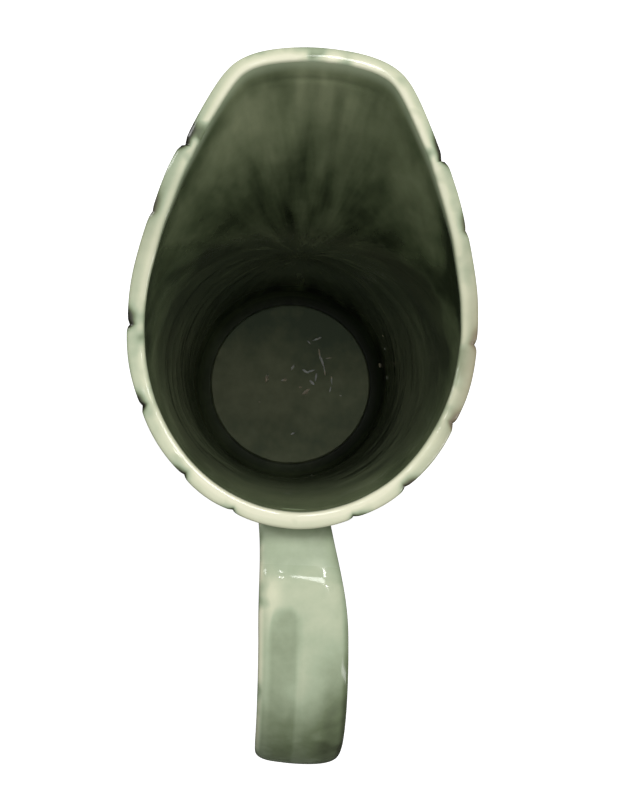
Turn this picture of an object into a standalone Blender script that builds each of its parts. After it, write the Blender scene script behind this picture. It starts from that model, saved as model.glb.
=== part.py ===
"""Ceramic pitcher with a wide spout and a strap handle, as the pieces that a potter joins.

Metres, +Z up. The spout points to -Y and the handle to +Y. Angles called "turn" go round the
body's axis from the spout (0) to the handle (pi), and the same way on both sides.
"""

import math

import bmesh
import bpy
from mathutils import Vector

# Overall sizes.
HEIGHT = 0.218  # table to the tip of the spout
MOUTH_HALF_WIDTH = 0.0556  # widest place of the mouth, from the centre plane
SPOUT_REACH = 0.0903  # body's axis to the tip of the spout
HANDLE_REACH = 0.1364  # body's axis to the back of the handle

# The mouth, seen from above: half an ellipse at the back, tapering to a squared spout in front.
MOUTH_BACK_REACH = 0.0585  # body's axis to the back of the lip
MOUTH_WIDEST = 0.0057  # how far in front of the axis the mouth is widest
SPOUT_HALF_WIDTH = 0.0243  # the spout's front edge, before its corners are rounded
SPOUT_TAPER_POWER = 1.75
SPOUT_CORNER_POWER = 32.0  # higher makes tighter corners
SPOUT_RISE = 0.014  # tip of the spout above the sides of the lip
BACK_RISE = 0.006  # back of the lip above its sides

# The round body, outside.
FOOT_RADIUS = 0.046
BELLY_RADIUS = 0.0565
BELLY_HEIGHT = 0.080
NECK_RADIUS = 0.0518
NECK_HEIGHT = 0.165
THROAT_HEIGHT = 0.128  # where the front of the neck turns out to the spout
FLARE_POWER = 1.5  # how late the neck turns out to the lip

# Walls and joints.
WALL = 0.0046
LIP_ROUNDING = 0.0019
GAP = 0.0003  # left between pieces that are luted together
PLINTH = 0.003  # upright stretch at the foot of the wall

# Upright leaf panels: the turns of the creases between them, in degrees, on each side.
CREASE_TURNS = (35.0, 53.0, 87.6, 115.5, 142.0, 160.8)
CREASE_DEPTH = 0.0011
CREASE_POWER = 0.55  # lower makes flatter panels and sharper creases
COLUMN_STEP = 5.6  # degrees between the columns of the wall's mesh
FRONT_COLUMN_STEP = 3.5  # finer round the corners of the spout
WALL_ROWS = 14

# Floor and foot.
FOOT_HEIGHT = 0.0040
FOOT_INSET = 0.0010  # foot ring inside the wall's outer face
FOOT_WIDTH = 0.0068
FOOT_ROUNDING = 0.0009
FLOOR_THICKNESS = 0.0026  # at the channel round the floor
CHANNEL_WIDTH = 0.0055  # channel between the wall and the raised disc
DISC_RISE = 0.0024
DISC_ROUNDING = 0.0005

# Spout seam: a rounded cut from one crease of the lip down and across to the other.
SEAM_DEPTH = 0.056  # below the lip at the creases

# Handle: a strap from the back of the neck to the belly, which leans a little to the -X side.
HANDLE_LEAN = 0.0065  # how far its middle leans out of line with its ends
LEAN_POWER = 0.75  # lower leans soonest near the upper end
ENDS_SIDE = 0.0012  # how far its upper end stands to the +X side of the centre plane
TAIL_SHIFT = 0.0052  # how far its lower end stands to the -X side of the upper one
STRAP_WIDTH = 0.0278
STRAP_THICKNESS = 0.0088
STRAP_SQUARENESS = 2.7  # 2 is an ellipse, higher is boxier
ROOT_NARROWING = 0.20  # share of the width lost at the upper root
TAIL_NARROWING = 0.24  # share of the width lost at the lower end
ROOT_DROP = 0.0118  # middle of the strap below the back of the lip
PEAK_RISE = 0.0065  # strap's highest place above its root
PEAK_INSET = 0.038  # strap's highest place in from the back of the handle
SHOULDER_DROP = 0.038  # strap's highest place down to its outermost place
TAIL_HEIGHT = 0.064  # lower end above the table
HANDLE_EMBED = 0.0085  # strap's ends past the wall's outer face, before they are trimmed
HANDLE_STATIONS = 30
STRAP_POINTS = 18

# Luting at the handle's ends: a collar at the lower one, a wedge under the strap at the upper one.
LUTE_LENGTH = 0.0090  # along the strap, from the wall
LUTE_FLARE = 0.0036  # how far the collar stands out from the strap at the wall
LUTE_EDGE = 0.0007  # how far the collar stands out from the strap at its far end
WEDGE_SHARE = 0.80  # the wedge's width as a share of the strap's
WEDGE_DROP = 0.0120  # the wedge's underside below the strap's middle, at the wall
LUTE_STEPS = 6

CELADON = (0.36, 0.43, 0.27)
DEEP_GREEN = (0.07, 0.09, 0.05)
BARE_CLAY = (0.62, 0.55, 0.43)

BASE_HEIGHT = FOOT_HEIGHT + GAP
LIP_SIDE_HEIGHT = HEIGHT - SPOUT_RISE
FLOOR_RADIUS = FOOT_RADIUS - WALL - GAP
DISC_RADIUS = FLOOR_RADIUS - CHANNEL_WIDTH
AXIS_Y = (SPOUT_REACH - HANDLE_REACH) / 2  # puts the middle of the footprint at the origin


def clear_scene():
    for thing in list(bpy.data.objects):
        bpy.data.objects.remove(thing)


def share(value, low, high):
    """Where value lies from low to high, as 0 to 1."""
    return min(1.0, max(0.0, (value - low) / (high - low)))


def ease(x):
    return x * x * (3 - 2 * x)


# ---- The wall's shape ----


def mouth_point(along):
    """(half-width, distance in front of the axis) of the lip's outline. along runs from -1 at the
    back, through 0 at the widest place, to 1 at the tip of the spout."""
    if along < 0:
        half = MOUTH_HALF_WIDTH * math.sqrt(1 - along * along)
        return half, MOUTH_WIDEST + along * (MOUTH_WIDEST + MOUTH_BACK_REACH)
    taper = 1 - (1 - SPOUT_HALF_WIDTH / MOUTH_HALF_WIDTH) * along**SPOUT_TAPER_POWER
    corner = math.sqrt(1 - along**SPOUT_CORNER_POWER)
    return MOUTH_HALF_WIDTH * taper * corner, MOUTH_WIDEST + along * (SPOUT_REACH - MOUTH_WIDEST)


def mouth_radius(turn):
    """Distance from the axis to the lip's outline at this turn, found by halving."""
    low, high = -1.0, 1.0
    for _ in range(40):
        middle = (low + high) / 2
        half, front = mouth_point(middle)
        if math.atan2(half, front) > turn:
            low = middle
        else:
            high = middle
    return math.hypot(half, front)


def lip_height(turn):
    front = max(0.0, math.cos(turn)) ** 2
    back = max(0.0, -math.cos(turn)) ** 2
    return LIP_SIDE_HEIGHT + SPOUT_RISE * front + BACK_RISE * back


def body_radius(height):
    """Outer radius of the round body, below the flare of the lip."""
    if height <= BELLY_HEIGHT:
        rise = share(height, BASE_HEIGHT + PLINTH, BELLY_HEIGHT)
        return FOOT_RADIUS + (BELLY_RADIUS - FOOT_RADIUS) * math.sin(rise * math.pi / 2)
    rise = share(height, BELLY_HEIGHT, NECK_HEIGHT)
    return BELLY_RADIUS + (NECK_RADIUS - BELLY_RADIUS) * (1 - math.cos(rise * math.pi)) / 2


def crease(turn, height):
    """Depth of the panel relief at this place: none in the middle of a panel."""
    bounds = [-CREASE_TURNS[0], *CREASE_TURNS, 360 - CREASE_TURNS[-1]]
    degrees = math.degrees(turn)
    for start, end in zip(bounds, bounds[1:]):
        if start <= degrees <= end:
            across = math.sin(math.pi * share(degrees, start, end))
            fade = ease(share(height, BASE_HEIGHT + PLINTH, BELLY_HEIGHT / 2))
            return CREASE_DEPTH * fade * (1 - across**CREASE_POWER)
    return 0.0


def wall_radius(turn, height):
    """Outer radius of the wall, creases left out. height is at the lip's sides: the lip rises
    above it at the spout and at the back."""
    start = NECK_HEIGHT - (NECK_HEIGHT - THROAT_HEIGHT) * max(0.0, math.cos(turn)) ** 2
    flare = share(height, start, LIP_SIDE_HEIGHT) ** FLARE_POWER
    return body_radius(height) + (mouth_radius(turn) - NECK_RADIUS) * flare


def true_height(turn, height):
    """The height above the table where the wall is that has this height at the lip's sides."""
    lifted = share(height, NECK_HEIGHT, LIP_SIDE_HEIGHT)
    return height + (lip_height(turn) - LIP_SIDE_HEIGHT) * ease(lifted)


def wall_point(side, turn, height, grow=0.0):
    """A point of the wall's outer face. side is -1 or 1, for the two sides of the spout."""
    radius = wall_radius(turn, height) - crease(turn, height) + grow
    across = side * radius * math.sin(turn)
    return Vector((across, -radius * math.cos(turn), true_height(turn, height)))


def wall_columns():
    """(side, turn) of each column of the wall's mesh, anticlockwise from the spout's tip, with a
    column on every crease."""
    half = [0.0]
    for start, end in zip((0.0, *CREASE_TURNS), (*CREASE_TURNS, 180.0)):
        step = FRONT_COLUMN_STEP if start == 0 else COLUMN_STEP
        count = max(2, round((end - start) / step))
        half += [start + (end - start) * (i + 1) / count for i in range(count)]
    right = [(1, math.radians(turn)) for turn in half]
    left = [(-1, math.radians(turn)) for turn in reversed(half[1:-1])]
    return right + left


def wall_heights():
    """Heights of the rows of the wall's mesh, closer together towards the lip."""
    low = BASE_HEIGHT + PLINTH
    rows = [1 - (1 - i / WALL_ROWS) ** 1.15 for i in range(WALL_ROWS + 1)]
    return [BASE_HEIGHT, *(low + (LIP_SIDE_HEIGHT - low) * row for row in rows)]


# ---- Mesh helpers ----


def loft(name, rings, closed=True):
    """A mesh through rings of points, each as long as the next. closed fills both ends."""
    mesh = bmesh.new()
    verts = [[mesh.verts.new(point) for point in ring] for ring in rings]
    for low, high in zip(verts, verts[1:]):
        for i in range(len(low)):
            j = (i + 1) % len(low)
            mesh.faces.new((low[i], low[j], high[j], high[i]))
    if closed:
        for ring in (verts[0], verts[-1]):
            middle = mesh.verts.new(sum((v.co for v in ring), Vector()) / len(ring))
            for i in range(len(ring)):
                mesh.faces.new((ring[i], ring[(i + 1) % len(ring)], middle))
        bmesh.ops.recalc_face_normals(mesh, faces=mesh.faces)
    return finished(name, mesh)


def turned(name, profile, steps=64):
    """A solid turned about the axis from a closed profile of (radius, height) points."""
    mesh = bmesh.new()
    verts = [mesh.verts.new((radius, 0, height)) for radius, height in profile]
    edges = [mesh.edges.new((a, b)) for a, b in zip(verts, verts[1:] + verts[:1])]
    bmesh.ops.spin(mesh, geom=verts + edges, cent=(0, 0, 0), axis=(0, 0, 1),
                   angle=2 * math.pi, steps=steps, use_merge=True)
    bmesh.ops.remove_doubles(mesh, verts=mesh.verts, dist=1e-6)
    bmesh.ops.dissolve_degenerate(mesh, edges=mesh.edges, dist=1e-7)
    bmesh.ops.recalc_face_normals(mesh, faces=mesh.faces)
    return finished(name, mesh)


def finished(name, mesh):
    data = bpy.data.meshes.new(name)
    mesh.to_mesh(data)
    mesh.free()
    return placed(name, data)


def placed(name, data):
    thing = bpy.data.objects.new(name, data)
    bpy.context.scene.collection.objects.link(thing)
    thing.parent = bpy.data.objects["pitcher"]
    return thing


def guide(thing):
    """Marks a cutter, which is no part of the pitcher."""
    thing.hide_render = True
    thing.display_type = "WIRE"
    return thing


def boolean(thing, cutter, operation="DIFFERENCE"):
    modifier = thing.modifiers.new(cutter.name, "BOOLEAN")
    modifier.operation = operation
    modifier.object = cutter


def dressed(thing, name, colour, roughness):
    """Gives the object its material and smooth shading."""
    material = bpy.data.materials.new(name)
    material.use_nodes = True
    shader = material.node_tree.nodes["Principled BSDF"]
    shader.inputs["Base Color"].default_value = (*colour, 1)
    shader.inputs["Roughness"].default_value = roughness
    shader.inputs["Metallic"].default_value = 0.0
    thing.data.materials.clear()
    thing.data.materials.append(material)
    thing.data.shade_smooth()
    thing.data.set_sharp_from_angle(angle=math.radians(40))
    return thing


# ---- Body pieces ----


def wall_rings(grow=0.0):
    columns = wall_columns()
    return [[wall_point(side, turn, height, grow) for side, turn in columns] for height in wall_heights()]


def make_wall(name):
    """The whole wall, spout and all: a skin given its thickness inwards and a rounded lip."""
    wall = loft(name, wall_rings(), closed=False)
    thickness = wall.modifiers.new("Wall", "SOLIDIFY")
    thickness.thickness = WALL
    thickness.offset = -1
    thickness.use_even_offset = True
    lip = wall.modifiers.new("Lip", "BEVEL")
    lip.width = LIP_ROUNDING
    lip.segments = 2
    lip.limit_method = "ANGLE"
    lip.angle_limit = math.radians(60)
    return wall


def make_seam_cutter(name, grow):
    """A prism through the front of the wall, as wide as the creases that end the spout, with a
    half-round bottom."""
    turn = math.radians(CREASE_TURNS[0])
    half = mouth_radius(turn) * math.sin(turn) + grow
    middle = lip_height(turn)
    low = SEAM_DEPTH + grow
    angles = [math.pi + math.pi * i / 24 for i in range(25)]
    outline = [(half * math.cos(a), middle + low * math.sin(a)) for a in angles]
    top = HEIGHT + WALL * 2
    outline += [(half, top), (-half, top)]
    depths = (-NECK_RADIUS * 0.3, -SPOUT_REACH * 1.3)
    rings = [[Vector((x, y, z)) for x, z in outline] for y in depths]
    return guide(loft(name, rings))


def make_floor(name):
    """The floor: a flat plate with a raised disc, which leaves a channel against the wall."""
    bottom = BASE_HEIGHT
    channel = bottom + FLOOR_THICKNESS
    top = channel + DISC_RISE
    r = DISC_ROUNDING
    corner = [
        (DISC_RADIUS - r + r * math.sin(a), top - r + r * math.cos(a))
        for a in (math.pi / 2 * i / 4 for i in range(5))
    ]
    profile = [
        (0, bottom),
        (FLOOR_RADIUS, bottom),
        (FLOOR_RADIUS, channel),
        (DISC_RADIUS, channel),
        *reversed(corner),
        (0, top),
    ]
    return turned(name, profile)


def make_foot(name):
    """The foot ring, whose flat underside is what the pitcher stands on."""
    outer = FOOT_RADIUS - FOOT_INSET
    inner = outer - FOOT_WIDTH
    profile = [
        (inner, FOOT_HEIGHT),
        (inner, FOOT_ROUNDING),
        (inner + FOOT_ROUNDING, 0),
        (outer - FOOT_ROUNDING, 0),
        (outer, FOOT_ROUNDING),
        (outer, FOOT_HEIGHT),
    ]
    return turned(name, profile)


# ---- Handle pieces ----


def handle_knots():
    """Places and directions, in the handle's plane (out from the axis, up), that its path passes."""
    root_height = lip_height(math.pi) - ROOT_DROP
    root_out = wall_radius(math.pi, min(root_height, LIP_SIDE_HEIGHT)) - HANDLE_EMBED
    peak_height = root_height + PEAK_RISE
    middle_out = HANDLE_REACH - STRAP_THICKNESS / 2
    tail_out = body_radius(TAIL_HEIGHT) - HANDLE_EMBED
    return [
        (Vector((root_out, root_height)), Vector((1.0, 0.10)).normalized()),
        (Vector((HANDLE_REACH - PEAK_INSET, peak_height)), Vector((1.0, -0.02)).normalized()),
        (Vector((middle_out, peak_height - SHOULDER_DROP)), Vector((0.0, -1.0))),
        (Vector((tail_out, TAIL_HEIGHT)), Vector((-1.0, -0.42)).normalized()),
    ]


def handle_path():
    """(place, direction) along the handle's middle: a Bezier curve from knot to knot."""
    path = []
    knots = handle_knots()
    for (start, leaving), (end, arriving) in zip(knots, knots[1:]):
        pull = (end - start).length * 0.40
        corners = (start, start + leaving * pull, end - arriving * pull, end)
        count = HANDLE_STATIONS // (len(knots) - 1)
        for i in range(count + (end is knots[-1][0])):
            path.append(bezier(corners, i / count))
    return path


def bezier(corners, t):
    """(place, direction) on a cubic Bezier curve."""
    a, b, c, d = corners
    place = a * (1 - t) ** 3 + b * 3 * t * (1 - t) ** 2 + c * 3 * t * t * (1 - t) + d * t**3
    slope = (b - a) * (1 - t) ** 2 + (c - b) * 2 * t * (1 - t) + (d - c) * t * t
    return place, slope.normalized()


def strap_ring(place, slope, side, half_width, half_thickness):
    """One cross-section of the strap, a rounded rectangle square to its path. side is how far its
    middle is to the +X side."""
    centre = Vector((side, place.x, place.y))
    normal = Vector((0, -slope.y, slope.x))
    ring = []
    for i in range(STRAP_POINTS):
        angle = 2 * math.pi * i / STRAP_POINTS
        c, s = math.cos(angle), math.sin(angle)
        x = math.copysign(abs(c) ** (2 / STRAP_SQUARENESS), c) * half_width
        y = math.copysign(abs(s) ** (2 / STRAP_SQUARENESS), s) * half_thickness
        ring.append(centre + Vector((x, 0, 0)) + normal * y)
    return ring


def strap_half_width(along):
    """Half the strap's width, along from 0 at the upper root to 1 at the lower end."""
    root = ROOT_NARROWING * (1 - ease(share(along, 0.0, 0.28)))
    tail = TAIL_NARROWING * ease(share(along, 0.5, 1.0))
    return STRAP_WIDTH / 2 * (1 - root - tail)


def strap_side(along):
    """How far the strap's middle is to the +X side."""
    lean = HANDLE_LEAN * math.sin(math.pi * along**LEAN_POWER)
    return ENDS_SIDE - lean - TAIL_SHIFT * along**2


def make_strap(name, grow=0.0):
    path = handle_path()
    rings = []
    for i, (place, slope) in enumerate(path):
        along = i / (len(path) - 1)
        half = strap_half_width(along) + grow
        rings.append(strap_ring(place, slope, strap_side(along), half, STRAP_THICKNESS / 2 + grow))
    return loft(name, rings)


def lute_steps(knot, neighbour):
    """(share of the way from the strap's clear end to the wall, distance from the strap's end, share
    of the strap's length that this is) for each ring of a lute between two knots of the strap."""
    run = (neighbour[0] - knot[0]).length * (len(handle_knots()) - 1)
    steps = [i / LUTE_STEPS for i in range(LUTE_STEPS + 1)]
    backs = [HANDLE_EMBED + LUTE_LENGTH * (1 - step) for step in steps]
    return [(step, back, back / run) for step, back in zip([*steps, 1.0], [*backs, 0.0])]


def make_collar(name):
    """Clay worked all round the strap's lower end: it flares on to the wall."""
    knots = handle_knots()
    place, slope = knots[-1]
    rings = []
    for step, back, along in lute_steps(knots[-1], knots[-2]):
        spread = LUTE_EDGE + (LUTE_FLARE - LUTE_EDGE) * step**2
        half = strap_half_width(1) + spread
        side = strap_side(1 - along)
        rings.append(strap_ring(place - slope * back, slope, side, half, STRAP_THICKNESS / 2 + spread))
    return loft(name, rings)


def make_wedge(name):
    """Clay pressed into the corner between the wall and the underside of the strap's upper end."""
    knots = handle_knots()
    place, slope = knots[0]
    below = Vector((slope.y, -slope.x))
    edge = STRAP_THICKNESS / 2 + LUTE_EDGE
    half = strap_half_width(0) * WEDGE_SHARE
    rings = []
    for step, back, along in lute_steps(knots[0], knots[1]):
        low = edge + (WEDGE_DROP - edge) * step**1.5
        middle = place + slope * back + below * low / 2
        rings.append(strap_ring(middle, slope, strap_side(along), half, low / 2))
    return loft(name, rings)


# ---- The pitcher ----


def main():
    clear_scene()
    pitcher = bpy.data.objects.new("pitcher", None)
    bpy.context.scene.collection.objects.link(pitcher)
    pitcher.location = (0, AXIS_Y, 0)

    seam_inside = make_seam_cutter("seam_cutter_inside", 0.0)
    seam_outside = make_seam_cutter("seam_cutter_outside", GAP)
    body_core = guide(loft("body_core", wall_rings(GAP)))
    strap_core = guide(make_strap("strap_core", GAP))

    wall = make_wall("body_wall")
    boolean(wall, seam_outside)
    dressed(wall, "celadon_glaze", CELADON, 0.12)

    spout = make_wall("spout")
    boolean(spout, seam_inside, "INTERSECT")
    dressed(spout, "spout_glaze", CELADON, 0.12)

    dressed(make_floor("floor"), "floor_glaze", DEEP_GREEN, 0.2)
    dressed(make_foot("foot_ring"), "bare_clay", BARE_CLAY, 0.8)

    strap = make_strap("handle")
    boolean(strap, body_core)
    dressed(strap, "handle_glaze", CELADON, 0.1)

    for lute in (make_wedge("upper_handle_lute"), make_collar("lower_handle_lute")):
        boolean(lute, body_core)
        boolean(lute, strap_core)
        dressed(lute, f"{lute.name}_glaze", CELADON, 0.12)


main()
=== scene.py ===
"""A glazed ceramic pitcher seen from above, on a pale floor.

The visual pieces repeat the shape that the CAD solids have, as one unbroken glazed surface with its
relief, and replace those solids. Metres, +Z up, spout towards -Y and handle towards +Y. "turn" is
the angle round the body's axis from the spout (0) to the handle (pi), the same on both sides, and
"side" is 1 on the +X side and -1 on the other.
"""

import math

import bmesh
import bpy
import numpy as np
from mathutils import Matrix, Vector, noise


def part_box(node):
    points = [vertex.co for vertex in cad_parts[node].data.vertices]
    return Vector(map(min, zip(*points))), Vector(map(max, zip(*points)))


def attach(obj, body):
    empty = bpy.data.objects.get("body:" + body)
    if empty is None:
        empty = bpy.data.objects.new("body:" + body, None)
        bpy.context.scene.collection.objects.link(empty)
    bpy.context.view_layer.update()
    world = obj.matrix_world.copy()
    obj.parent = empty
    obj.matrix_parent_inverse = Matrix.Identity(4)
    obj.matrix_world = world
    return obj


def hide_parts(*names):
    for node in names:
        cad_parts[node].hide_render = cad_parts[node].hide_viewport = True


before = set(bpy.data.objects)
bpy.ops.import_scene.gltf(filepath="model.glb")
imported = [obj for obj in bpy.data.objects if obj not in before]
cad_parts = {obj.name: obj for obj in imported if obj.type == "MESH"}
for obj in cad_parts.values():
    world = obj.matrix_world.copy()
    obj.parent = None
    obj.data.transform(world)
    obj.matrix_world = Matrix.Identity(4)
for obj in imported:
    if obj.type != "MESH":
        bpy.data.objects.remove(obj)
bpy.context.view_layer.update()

# ---- Sizes, as the CAD has them ----

FOOT_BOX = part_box("foot_ring")
AXIS_Y = (FOOT_BOX[0][1] + FOOT_BOX[1][1]) / 2
BASE_HEIGHT = FOOT_BOX[1][2] + 0.0002  # just clear of the foot ring

HEIGHT = 0.218
MOUTH_HALF_WIDTH = 0.0556
SPOUT_REACH = 0.0903
MOUTH_BACK_REACH = 0.0585
MOUTH_WIDEST = 0.0057
SPOUT_HALF_WIDTH = 0.0243
SPOUT_TAPER_POWER = 1.75
SPOUT_CORNER_POWER = 32.0
SPOUT_RISE = 0.014
BACK_RISE = 0.006
LIP_SIDE = HEIGHT - SPOUT_RISE

FOOT_RADIUS = 0.046
BELLY_RADIUS = 0.0565
BELLY_HEIGHT = 0.080
NECK_RADIUS = 0.0518
NECK_HEIGHT = 0.165
THROAT_HEIGHT = 0.128
FLARE_POWER = 1.5
WALL = 0.0046
PLINTH = 0.003

CREASE_TURNS = (35.0, 53.0, 87.6, 115.5, 142.0, 160.8)
CREASE_DEPTH = 0.0011
CREASE_POWER = 0.55

FLOOR_LEVEL = BASE_HEIGHT + 0.0026
DISC_RADIUS = 0.0356
DISC_RISE = 0.0024
DISC_TOP = FLOOR_LEVEL + DISC_RISE

HANDLE_REACH = 0.1364
HANDLE_LEAN = 0.0065
LEAN_POWER = 0.75
ENDS_SIDE = 0.0012
TAIL_SHIFT = 0.0052
STRAP_WIDTH = 0.0278
STRAP_THICKNESS = 0.0088
STRAP_SQUARENESS = 2.7
ROOT_NARROWING = 0.20
TAIL_NARROWING = 0.24
ROOT_DROP = 0.0118
PEAK_RISE = 0.0065
PEAK_INSET = 0.038
SHOULDER_DROP = 0.038
TAIL_HEIGHT = 0.064
HANDLE_EMBED = 0.0085

# ---- What only the eye sees ----

SKIN = 0.0001  # how far the visual surfaces stand inside the CAD's

COLUMNS = 720
WALL_ROWS = 190
ROW_CROWDING = 1.25  # higher crowds the rows together near the lip

LIP_REACH = 0.014  # the wall takes on the lip's shape over this height
LIP_WALL = 0.0050
LIP_CREST = 0.0013  # height of the lip's rounded top
LIP_FLATNESS = 3.2
LIP_LOWERING = 0.0005
LIP_ROWS = 28
BEAD = 0.0008  # how far the lip's inner edge stands in over the wall
BEAD_HEIGHT = 0.0022
LEAF_STEP = 0.0003  # each leaf's front edge stands out over the leaf in front of it
SPOUT_STEP = 0.0010  # and the leaf behind the spout stands out by more
NOTCH_STRENGTHS = (1.0, 0.25, 0.7, 0.8, 0.4, 0.4)
NOTCH_HALF_TURN = 1.1
NOTCH_HEIGHT = 0.006
NOTCH_DEPTH = 0.0006  # into the outside
DENT_DEPTH = 0.0011  # into the top of the lip

FOOT_INSIDE = 0.0425  # radius of the inside just over the floor
SOFTENING = 300  # steps that round off the inside of the neck
FAN_HEIGHT = 0.088  # the veins inside spread from this height at the front

CORNER_HEIGHT = 0.006  # the inside turns in to the floor from this far above it
CORNER_TURN = 1.1  # how far it turns, in radians, before it meets the disc
CORNER_ROWS = 13
CHANNEL_ROWS = 6  # the last rows of the corner, which are nearly level
CHANNEL_GAP = 0.0008
DISC_EDGE = 0.00006  # rounding of the disc's edge
DISC_EDGE_ROWS = 10
DISC_DISH = 0.0004  # how far the middle of the disc lies below its edge
DISC_ROWS = 30
DISC_MIDDLE = 0.0008  # radius of the innermost ring
UNDERSIDE_RADII = (0.001, 0.02, 0.036, 0.044, 0.0455)

STRAP_STEPS = 60  # along each of the strap's three curves
STRAP_POINTS = 120
STRAP_BITE = 0.0026  # how deep the strap's ends reach into the wall
GROOVE_DEPTH = 0.00018  # of the soft groove down the strap's outer face
LEDGE_PLACE = 0.160  # share of the strap's length at which the clay of its root ends
LEDGE_SLANT = 0.012
LEDGE_LENGTH = 0.014
LEDGE_RISE = 0.00022
RIPPLE_DEPTH = 0.00003  # of the faint rings across the root
RIPPLE_PACE = 240

CAMERA_PLACE = (0.00955, 0.01928, 0.627)
CAMERA_DEGREES = (3.189, -2.368, -176.816)
CAMERA_LENS = 76.6


def ease(x):
    x = np.clip(x, 0.0, 1.0)
    return x * x * (3 - 2 * x)


def share(value, low, high):
    return np.clip((value - low) / (high - low), 0.0, 1.0)


def bell(x):
    return np.exp(-x * x)


def climb(value, low, high):
    """Rises smoothly from 0 at low to 1 at high."""
    return ease(share(value, low, high))


def near(value, middle, spread):
    """1 at the middle, falling away smoothly on both sides."""
    return bell((value - middle) / spread)


# ---- The wall's shape ----


def mouth_outline():
    """Dense (turn, radius) table of the lip's outline, from the spout's tip to the back."""
    along = np.cos(np.linspace(0, math.pi, 6001))
    back = along < 0
    front_part = np.clip(along, 0, 1)
    taper = 1 - (1 - SPOUT_HALF_WIDTH / MOUTH_HALF_WIDTH) * front_part**SPOUT_TAPER_POWER
    corner = np.sqrt(1 - front_part**SPOUT_CORNER_POWER)
    half = MOUTH_HALF_WIDTH * np.where(back, np.sqrt(1 - along**2), taper * corner)
    reach = np.where(back, MOUTH_WIDEST + MOUTH_BACK_REACH, SPOUT_REACH - MOUTH_WIDEST)
    front = MOUTH_WIDEST + along * reach
    return np.arctan2(half, front), np.hypot(half, front)


MOUTH_TURNS, MOUTH_RADII = mouth_outline()


def mouth_radius(turn):
    return np.interp(turn, MOUTH_TURNS, MOUTH_RADII)


def lip_height(turn):
    front = np.maximum(0, np.cos(turn)) ** 2
    back = np.maximum(0, -np.cos(turn)) ** 2
    return LIP_SIDE + SPOUT_RISE * front + BACK_RISE * back


def body_radius(height):
    low = np.sin(share(height, BASE_HEIGHT + PLINTH, BELLY_HEIGHT) * math.pi / 2)
    high = (1 - np.cos(share(height, BELLY_HEIGHT, NECK_HEIGHT) * math.pi)) / 2
    return FOOT_RADIUS + (BELLY_RADIUS - FOOT_RADIUS) * low + (NECK_RADIUS - BELLY_RADIUS) * high


def panel_place(turn):
    """Where each turn lies across its leaf panel: 0 at the crease in front, 1 at the one behind."""
    bounds = np.array([-CREASE_TURNS[0], *CREASE_TURNS, 360 - CREASE_TURNS[-1]])
    degrees = np.degrees(turn)
    number = np.clip(np.searchsorted(bounds, degrees, side="right") - 1, 0, len(bounds) - 2)
    return np.clip((degrees - bounds[number]) / (bounds[number + 1] - bounds[number]), 0, 1), number


def crease(turn, height):
    """0 in the middle of a panel to 1 in a crease, fading out at the foot."""
    across, _ = panel_place(turn)
    fade = climb(height, BASE_HEIGHT + PLINTH, BELLY_HEIGHT / 2)
    return fade * (1 - np.sin(np.pi * across) ** CREASE_POWER)


def step_back(turn, height):
    """How far a leaf lies back: nothing at its front edge, and most just before the next leaf."""
    across, number = panel_place(turn)
    depth = np.where(number < len(CREASE_TURNS), LEAF_STEP, 0)
    depth = np.where(number == 0, SPOUT_STEP, depth)
    return depth * across**2 * climb(height, BASE_HEIGHT + PLINTH, BELLY_HEIGHT)


def notch(turn, height):
    """1 in the little notch that each crease leaves in the lip's outer edge."""
    degrees = np.degrees(turn)
    value = np.zeros_like(degrees)
    for at, strength in zip(CREASE_TURNS, NOTCH_STRENGTHS):
        value = np.maximum(value, strength * near(degrees, at, NOTCH_HALF_TURN))
    return value * climb(height, LIP_SIDE - NOTCH_HEIGHT, LIP_SIDE)


def flare_start(turn):
    """Height at which the neck starts to turn out, lowest under the spout."""
    return NECK_HEIGHT - (NECK_HEIGHT - THROAT_HEIGHT) * np.maximum(0, np.cos(turn)) ** 2


def wall_radius(turn, height):
    flare = share(height, flare_start(turn), LIP_SIDE) ** FLARE_POWER
    return body_radius(height) + (mouth_radius(turn) - NECK_RADIUS) * flare


def true_height(turn, height):
    """Height of a point of the wall, whose "height" ends at the same level all round the lip."""
    return height + (lip_height(turn) - LIP_SIDE) * climb(height, NECK_HEIGHT, LIP_SIDE)


def wander(side, turn, seed, scale=2.2):
    """Slow hand-made unevenness round the body, about -1 to 1."""
    values = []
    for s, t in zip(side, turn):
        values.append(noise.noise(Vector((math.sin(t) * s * scale, math.cos(t) * scale, seed))))
    return np.clip(np.array(values) * 1.8, -1, 1)


def wall_point(side, turn, height, relief=1.0):
    """A point of the outside, or of the plain wall without its creases where relief is 0."""
    depth = CREASE_DEPTH * (1 - 0.55 * climb(height, NECK_HEIGHT, LIP_SIDE))
    carve = SKIN + depth * crease(turn, height) + step_back(turn, height)
    radius = wall_radius(turn, height) - relief * carve
    x = side * radius * np.sin(turn)
    y = AXIS_Y - radius * np.cos(turn)
    return np.stack([x, y, true_height(turn, height)], axis=-1)


def columns():
    """(side, turn) of the columns, evenly spaced along the lip, anticlockwise from the spout's tip."""
    x, y = MOUTH_RADII * np.sin(MOUTH_TURNS), MOUTH_RADII * np.cos(MOUTH_TURNS)
    run = np.concatenate([[0], np.cumsum(np.hypot(np.diff(x), np.diff(y)))])
    turns = np.interp(np.linspace(0, run[-1], COLUMNS // 2 + 1), run, MOUTH_TURNS)
    sides = np.concatenate([np.ones(COLUMNS // 2 + 1), -np.ones(COLUMNS // 2 - 1)])
    return sides, np.concatenate([turns, turns[-2:0:-1]])


# ---- Mesh helpers ----


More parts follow.
